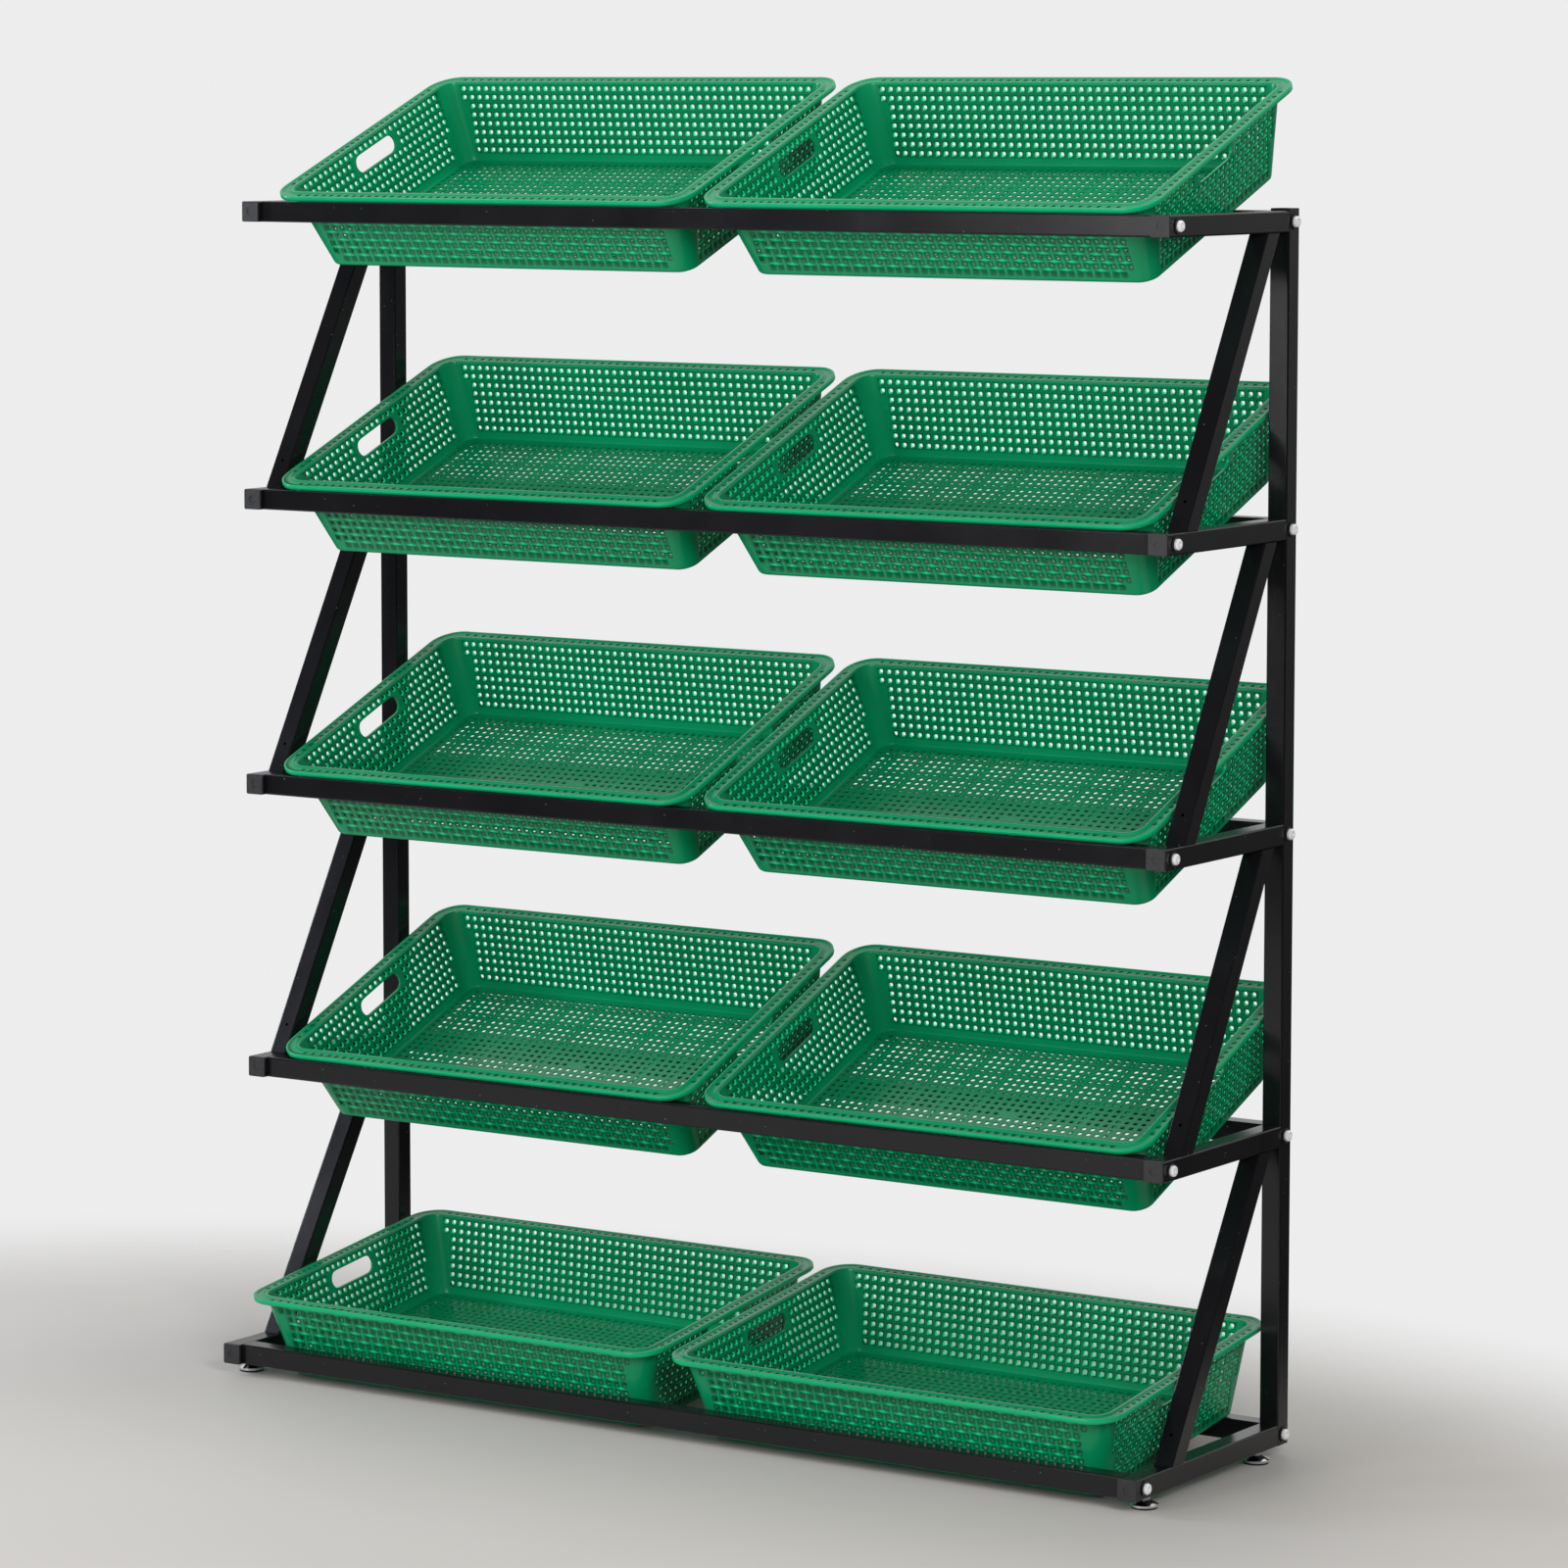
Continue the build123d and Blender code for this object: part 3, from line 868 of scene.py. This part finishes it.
@dataclass
class BasketSeat:
    """Where a packed basket sits: its own axes and box, read from its solid and from the way it lifts out."""

    node: str
    axes: np.ndarray
    low: np.ndarray
    high: np.ndarray

    @classmethod
    def read(cls, node: str, obj: bpy.types.Object, lift: Vector) -> "BasketSeat":
        """Reads a basket's seat.

        Args:
            node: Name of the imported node.
            obj: Its object.
            lift: Direction in which it lifts out, square to its rim.

        Returns:
            The seat, with the box in the basket's own axes in metres.
        """
        flat = np.empty(3 * len(obj.data.vertices))
        obj.data.vertices.foreach_get("co", flat)
        up = np.array(lift.normalized())
        along = np.array((1.0, 0.0, 0.0))
        axes = np.stack([along, np.cross(up, along), up])
        local = flat.reshape(-1, 3) @ axes.T
        return cls(node, axes, local.min(axis=0), local.max(axis=0))

    def size(self) -> np.ndarray:
        """Length, depth and height in millimetres."""
        return (self.high - self.low) / MM

    def put(self, points: np.ndarray) -> np.ndarray:
        """Carries points from the basket's own axes in millimetres into the stand's frame in metres."""
        middle = (self.low + self.high) / 2
        base = np.array((middle[0], middle[1], self.low[2]))
        return (points * MM + base) @ self.axes


class Board:
    """Lays out the shader nodes of one material or world."""

    def __init__(self, tree: bpy.types.NodeTree) -> None:
        """Starts from an empty tree."""
        self.tree = tree
        tree.nodes.clear()

    @classmethod
    def material(cls, name: str) -> tuple[Material, "Board"]:
        """A new material and its board."""
        material = bpy.data.materials.new(name)
        material.use_nodes = True
        return material, cls(material.node_tree)

    def add(self, kind: str, **values: object) -> bpy.types.Node:
        """Adds a node and sets its inputs and properties.

        Args:
            kind: Node type.
            values: Inputs by name with underscores for spaces, or properties of the node.

        Returns:
            The node.
        """
        node = self.tree.nodes.new(kind)
        for key, value in values.items():
            label = key.replace("_", " ")
            if label in node.inputs:
                node.inputs[label].default_value = value
            else:
                setattr(node, key, value)
        return node

    def link(self, source: Socket, target: Socket) -> None:
        """Joins two sockets."""
        self.tree.links.new(source, target)

    def ramp(self, value: Socket, span: Pair, ends: tuple[Color, Color]) -> Socket:
        """Turns a value into a colour.

        Args:
            value: The value.
            span: Values at which the two end colours stand.
            ends: The end colours.

        Returns:
            The colour.
        """
        ramp = self.add("ShaderNodeValToRGB")
        for element, position, color in zip(ramp.color_ramp.elements, span, ends):
            element.position = position
            element.color = (*color, 1.0)
        self.link(value, ramp.inputs["Fac"])
        return ramp.outputs["Color"]

    def blend(self, output: str, share: Socket, first: Socket, second: Socket) -> None:
        """Sends a blend of two shaders to a new output.

        Args:
            output: Node type of the output.
            share: Share of the second shader.
            first: The first shader.
            second: The second shader.
        """
        mix = self.add("ShaderNodeMixShader")
        for source, target in zip((share, first, second), mix.inputs):
            self.link(source, target)
        self.link(mix.outputs["Shader"], self.add(output).inputs["Surface"])


@dataclass(frozen=True)
class Finish:
    """A surface: two shades that drift into each other, a roughness that drifts too, and a fine grain."""

    name: str
    light: Color
    dark: Color
    rough: Pair
    drift_scale: float
    grain_scale: float
    grain_height: float
    metallic: float = 0.0
    specular: float = 0.5
    drift_span: Pair = (0.3, 0.7)
    drift_detail: float = 4.0
    drift_fineness: float = 0.6
    grain_detail: float = 2.0
    speck_scale: float = 0.0
    speck_share: float = 0.0
    speck_core: float = 0.6
    speck_color: Color = (0.2, 0.2, 0.2)
    # Whether the colour takes the mesh's painted light and shade.
    light_painted: bool = False

    def material(self) -> Material:
        """Builds the material on Object coordinates.

        Returns:
            The material.
        """
        material, board = Board.material(self.name)
        output = board.add("ShaderNodeOutputMaterial")
        shader = board.add("ShaderNodeBsdfPrincipled", Metallic=self.metallic, Specular_IOR_Level=self.specular)
        board.link(shader.outputs["BSDF"], output.inputs["Surface"])
        where = board.add("ShaderNodeTexCoord").outputs["Object"]
        drift = board.add("ShaderNodeTexNoise", Scale=self.drift_scale, Detail=self.drift_detail,
                          Roughness=self.drift_fineness)
        grain = board.add("ShaderNodeTexNoise", Scale=self.grain_scale, Detail=self.grain_detail)
        for noise in (drift, grain):
            board.link(where, noise.inputs["Vector"])
        color = board.ramp(drift.outputs["Fac"], self.drift_span, (self.dark, self.light))
        if self.speck_scale:
            color = self.specks(board, where, color)
        # Painted light and shade from the mesh's attribute.
        if self.light_painted:
            color = self.scaled(board, color)
        board.link(color, shader.inputs["Base Color"])
        rough = board.add("ShaderNodeMapRange", From_Min=self.drift_span[0], From_Max=self.drift_span[1],
                          To_Min=self.rough[0], To_Max=self.rough[1])
        board.link(drift.outputs["Fac"], rough.inputs["Value"])
        board.link(rough.outputs["Result"], shader.inputs["Roughness"])
        bump = board.add("ShaderNodeBump", Strength=1.0, Distance=self.grain_height)
        board.link(grain.outputs["Fac"], bump.inputs["Height"])
        board.link(bump.outputs["Normal"], shader.inputs["Normal"])
        return material

    def scaled(self, board: Board, color: Socket) -> Socket:
        """Paints shade and light into a colour: darker in the mesh's hollows and holes, lighter on its crests, rim lip
        and hole flanks.

        Args:
            board: The material's nodes.
            color: The plain colour.

        Returns:
            The colour scaled by the mesh's painted light and shade.
        """
        painted_light = board.add("ShaderNodeAttribute", attribute_name="painted_light")
        scaled = board.add("ShaderNodeVectorMath", operation="SCALE")
        board.link(color, scaled.inputs["Vector"])
        board.link(painted_light.outputs["Fac"], scaled.inputs["Scale"])
        return scaled.outputs["Vector"]

    def specks(self, board: Board, where: Socket, color: Socket) -> Socket:
        """Scatters pale dust specks over a colour.

        Args:
            board: The material's nodes.
            where: Coordinates.
            color: The colour below the specks.

        Returns:
            The colour with specks.
        """
        cells = board.add("ShaderNodeTexVoronoi", Scale=self.speck_scale)
        board.link(where, cells.inputs["Vector"])
        near = board.add("ShaderNodeMapRange", From_Min=self.speck_share, From_Max=self.speck_core * self.speck_share)
        board.link(cells.outputs["Distance"], near.inputs["Value"])
        rare = board.add("ShaderNodeSeparateColor")
        board.link(cells.outputs["Color"], rare.inputs["Color"])
        picked = board.add("ShaderNodeMath", operation="MULTIPLY")
        board.link(near.outputs["Result"], picked.inputs[0])
        board.link(rare.outputs["Red"], picked.inputs[1])
        mix = board.add("ShaderNodeMix", data_type="RGBA")
        board.link(picked.outputs["Value"], mix.inputs["Factor"])
        board.link(color, mix.inputs["A"])
        mix.inputs["B"].default_value = (*self.speck_color, 1.0)
        return mix.outputs["Result"]


FINISHES = {
    "frame_paint": Finish(
        "black_tube_paint", (0.006, 0.006, 0.0072), (0.0045, 0.0045, 0.0055), rough=(0.18, 0.24), drift_scale=9.0,
        grain_scale=700.0, grain_height=3e-5, specular=0.35, speck_scale=70.0, speck_share=0.05),
    "basket_plastic": Finish(
        "green_basket_plastic", (0.0012, 0.24, 0.094), (0.001, 0.215, 0.084), rough=(0.2, 0.26), drift_scale=14.0,
        grain_scale=900.0, grain_height=2e-5, specular=0.3, light_painted=True),
    "cap_plastic": Finish(
        "mottled_cap_plastic", (0.022, 0.022, 0.024), (0.007, 0.007, 0.008), rough=(0.4, 0.6), drift_scale=260.0,
        grain_scale=900.0, grain_height=8e-5),
    "washer_plastic": Finish(
        "black_washer_plastic", (0.012, 0.012, 0.012), (0.007, 0.007, 0.007), rough=(0.45, 0.6), drift_scale=120.0,
        grain_scale=900.0, grain_height=5e-5),
    "bolt_zinc": Finish(
        "zinc_bolt_plating", (0.95, 0.95, 0.95), (0.86, 0.86, 0.87), rough=(0.35, 0.45), drift_scale=160.0,
        grain_scale=1500.0, grain_height=2e-5, metallic=0.3),
    "foot_chrome": Finish(
        "bright_foot_plating", (0.8, 0.8, 0.81), (0.72, 0.72, 0.74), rough=(0.08, 0.16), drift_scale=60.0,
        grain_scale=900.0, grain_height=1e-5, metallic=1.0),
    "sole_rubber": Finish(
        "black_sole_rubber", (0.014, 0.014, 0.014), (0.008, 0.008, 0.008), rough=(0.6, 0.8), drift_scale=90.0,
        grain_scale=800.0, grain_height=1e-4),
    "fitting_steel": Finish(
        "plain_fitting_steel", (0.55, 0.55, 0.56), (0.45, 0.45, 0.47), rough=(0.3, 0.45), drift_scale=80.0,
        grain_scale=1200.0, grain_height=3e-5, metallic=1.0),
}


@dataclass
class Baskets:
    """The ten lift-out baskets, one moulding set on every packed basket."""

    seats: list[BasketSeat]

    def build(self, material: Material) -> None:
        """Builds the moulding once and sets a copy on every seat.

        Args:
            material: The basket's plastic.
        """
        length, depth, height = self.seats[0].size()
        moulding = BasketShape(float(length), float(depth), float(height)).mesh("basket_moulding")
        flat = np.empty(3 * len(moulding.vertices))
        moulding.vertices.foreach_get("co", flat)
        moulding.materials.append(material)
        for seat in self.seats:
            mesh = moulding.copy()
            mesh.vertices.foreach_set("co", seat.put(flat.reshape(-1, 3)).ravel())
            mesh.update()
            piece = bpy.data.objects.new(f"{seat.node}_moulding", mesh)
            bpy.context.scene.collection.objects.link(piece)
            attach(piece, seat.node)
            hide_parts(seat.node)
            LOG.info("%s: %d faces", piece.name, len(mesh.polygons))
        bpy.data.meshes.remove(moulding)


@dataclass
class Tubework:
    """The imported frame, fittings and feet, which keep their solids and get their finishes."""

    nodes: dict[str, bpy.types.Object]
    slots: dict[str, str]

    def dress(self, materials: dict[str, Material]) -> None:
        """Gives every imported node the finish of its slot.

        Args:
            materials: Material of each slot.
        """
        for name, obj in self.nodes.items():
            for slot in obj.material_slots:
                slot.material = materials[self.slots[name]]
            LOG.info("%s: %s", name, self.slots[name])


@dataclass(frozen=True)
class Lamp:
    """A round soft lamp: its place, width in metres, power in watts and colour, and whether gloss mirrors it."""

    name: str
    place: Place
    size: float
    power: float
    glossy: bool
    color: Color = WHITE

    def hang(self, target: Place) -> None:
        """Sets the lamp up, turned towards a target.

        Args:
            target: The place it points at.
        """
        data = bpy.data.lights.new(self.name, "AREA")
        data.shape = "DISK"
        data.size = self.size
        data.energy = self.power
        data.color = self.color
        lamp = bpy.data.objects.new(self.name, data)
        bpy.context.scene.collection.objects.link(lamp)
        lamp.visible_glossy = self.glossy
        lamp.location = self.place
        lamp.rotation_euler = (Vector(target) - Vector(self.place)).to_track_quat("-Z", "Y").to_euler()


@dataclass(frozen=True)
class Glow:
    """Light of the room that changes smoothly along an axis, from one strength to another between two turns."""

    axis: Place
    turn: Pair
    light: Pair

    def strength(self, board: Board, where: Socket) -> Socket:
        """Strength in a direction: a smooth step over the direction's part along the axis.

        Args:
            board: The world's nodes.
            where: The direction.

        Returns:
            The strength.
        """
        along = board.add("ShaderNodeVectorMath", operation="DOT_PRODUCT")
        along.inputs[1].default_value = self.axis
        board.link(where, along.inputs[0])
        step = board.add("ShaderNodeMapRange", interpolation_type="SMOOTHSTEP", From_Min=self.turn[0],
                         From_Max=self.turn[1], To_Min=self.light[0], To_Max=self.light[1])
        board.link(along.outputs["Value"], step.inputs["Value"])
        return step.outputs["Result"]


@dataclass
class Studio:
    """Floor, soft light and camera."""

    post_face: float
    # Camera: its place from the front face of the posts, and its turns in degrees.
    eye: Place = (3.888, -5.9446, 1.6)
    yaw: float = 33.448
    pitch: float = 5.589
    roll: float = -0.061
    focal_pixels: float = 5990.5
    frame_pixels: float = 1600.0
    sensor: float = 36.0
    shift: float = -0.08
    sight: float = 100.0
    # Floor: faintly mottled, fading out round its middle.
    floor_half: float = 6.0
    floor_color: Color = (0.55, 0.525, 0.495)
    floor_shade: float = 0.96
    floor_rough: float = 0.6
    mottle_scale: float = 3.0
    mottle_detail: float = 5.0
    floor_middle: Place = (0.0, -1.6, 0.0)
    fade_start: float = 1.95
    fade_end: float = 2.6
    # Room: what the camera sees of it, its diffuse light and what gloss mirrors of it.
    backdrop: float = 0.85
    soft: Glow = Glow(axis=(0.0, 1.0, 0.0), turn=(-0.4, 0.5), light=(0.4, 0.2))
    mirrored: Glow = Glow(axis=(0.0, 0.6, 0.8), turn=(0.36, 0.76), light=(0.04, 0.9))
    # Lamps: one in front, fills on the right, above and on the left that leave no reflection, and a cool window.
    lamps: tuple[Lamp, ...] = (
        Lamp("front_lamp", (-1.1, -5.2, 1.9), size=2.2, power=98.0, glossy=True),
        Lamp("side_lamp", (3.6, -2.8, 2.4), size=1.6, power=118.0, glossy=False),
        Lamp("top_lamp", (0.0, 0.5, 4.6), size=1.2, power=56.0, glossy=False),
        Lamp("left_lamp", (-2.8, -3.2, 1.8), size=1.2, power=36.0, glossy=False),
        Lamp("window_lamp", (-3.4, -1.2, 1.8), size=1.2, power=60.0, glossy=True, color=(0.8, 0.87, 1.0)),
    )
    lamp_target: Place = (0.0, 0.0, 0.8)

    def camera(self) -> None:
        """Sets the camera at the photograph's place, measured from the front face of the posts."""
        data = bpy.data.cameras.new("camera")
        data.sensor_width = self.sensor
        data.lens = self.focal_pixels / self.frame_pixels * self.sensor
        data.shift_y = self.shift
        data.clip_end = self.sight
        camera = bpy.data.objects.new("camera", data)
        bpy.context.scene.collection.objects.link(camera)
        camera.location = (self.eye[0], self.eye[1] + self.post_face, self.eye[2])
        turns = (math.radians(turn) for turn in (90 - self.pitch, self.roll, self.yaw))
        camera.rotation_euler = Euler(tuple(turns), "XYZ")
        bpy.context.scene.camera = camera

    def floor(self) -> None:
        """Lays a pale floor that fades into the white backdrop all round, nearest behind the stand."""
        half = self.floor_half
        mesh = bpy.data.meshes.new("floor")
        mesh.from_pydata([(-half, -half, 0), (half, -half, 0), (half, half, 0), (-half, half, 0)], [], [(0, 1, 2, 3)])
        floor = bpy.data.objects.new("floor", mesh)
        bpy.context.scene.collection.objects.link(floor)
        material, board = Board.material("pale_floor")
        shader = board.add("ShaderNodeBsdfPrincipled", Roughness=self.floor_rough)
        where = board.add("ShaderNodeTexCoord").outputs["Object"]
        mottle = board.add("ShaderNodeTexNoise", Scale=self.mottle_scale, Detail=self.mottle_detail)
        board.link(where, mottle.inputs["Vector"])
        shade = tuple(self.floor_shade * part for part in self.floor_color)
        color = board.ramp(mottle.outputs["Fac"], (0.0, 1.0), (shade, self.floor_color))
        board.link(color, shader.inputs["Base Color"])
        away = board.add("ShaderNodeVectorMath", operation="DISTANCE")
        away.inputs[1].default_value = self.floor_middle
        board.link(where, away.inputs[0])
        fade = board.add("ShaderNodeMapRange", interpolation_type="SMOOTHSTEP", From_Min=self.fade_start,
                         From_Max=self.fade_end)
        board.link(away.outputs["Value"], fade.inputs["Value"])
        clear = board.add("ShaderNodeBsdfTransparent")
        board.blend("ShaderNodeOutputMaterial", fade.outputs["Result"], shader.outputs["BSDF"], clear.outputs["BSDF"])
        mesh.materials.append(material)

    def room(self) -> None:
        """Surrounds the stand with a soft room, mirrored brighter above and behind, which the camera sees white."""
        world = bpy.data.worlds.new("room")
        world.use_nodes = True
        bpy.context.scene.world = world
        board = Board(world.node_tree)
        where = board.add("ShaderNodeTexCoord").outputs["Generated"]
        path = board.add("ShaderNodeLightPath")
        level = board.add("ShaderNodeMix")
        board.link(path.outputs["Is Glossy Ray"], level.inputs["Factor"])
        board.link(self.soft.strength(board, where), level.inputs["A"])
        board.link(self.mirrored.strength(board, where), level.inputs["B"])
        light = board.add("ShaderNodeBackground", Color=(*WHITE, 1.0))
        board.link(level.outputs["Result"], light.inputs["Strength"])
        white = board.add("ShaderNodeBackground", Color=(*WHITE, 1.0), Strength=self.backdrop)
        seen = board.add("ShaderNodeMath", operation="MAXIMUM")
        board.link(path.outputs["Is Camera Ray"], seen.inputs[0])
        board.link(path.outputs["Is Transmission Ray"], seen.inputs[1])
        board.blend("ShaderNodeOutputWorld", seen.outputs["Value"], light.outputs["Background"],
                    white.outputs["Background"])

    def build(self) -> None:
        """Builds the whole studio."""
        self.camera()
        self.floor()
        self.room()
        for lamp in self.lamps:
            lamp.hang(self.lamp_target)
        bpy.context.scene.view_settings.view_transform = "Standard"


def main() -> None:
    """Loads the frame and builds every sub-assembly in order."""
    logging.basicConfig(level=logging.INFO, format="%(message)s")
    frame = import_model()
    record = frame["record"]
    slots = {part["node"]: part["material_slot"] for part in record["subparts"]}
    materials = {slot: finish.material() for slot, finish in FINISHES.items()}
    Tubework(frame["nodes"], slots).dress(materials)
    lifts = {joint["child"]: Vector(joint["axis"]) for joint in record["behaviour"]["joints"]}
    seats = [BasketSeat.read(name, frame["nodes"][name], lifts[name])
             for name, slot in slots.items() if slot == "basket_plastic"]
    Baskets(seats).build(materials["basket_plastic"])
    Studio(post_face=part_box("left_post")[0].y).build()


if __name__ == "__main__":
    main()
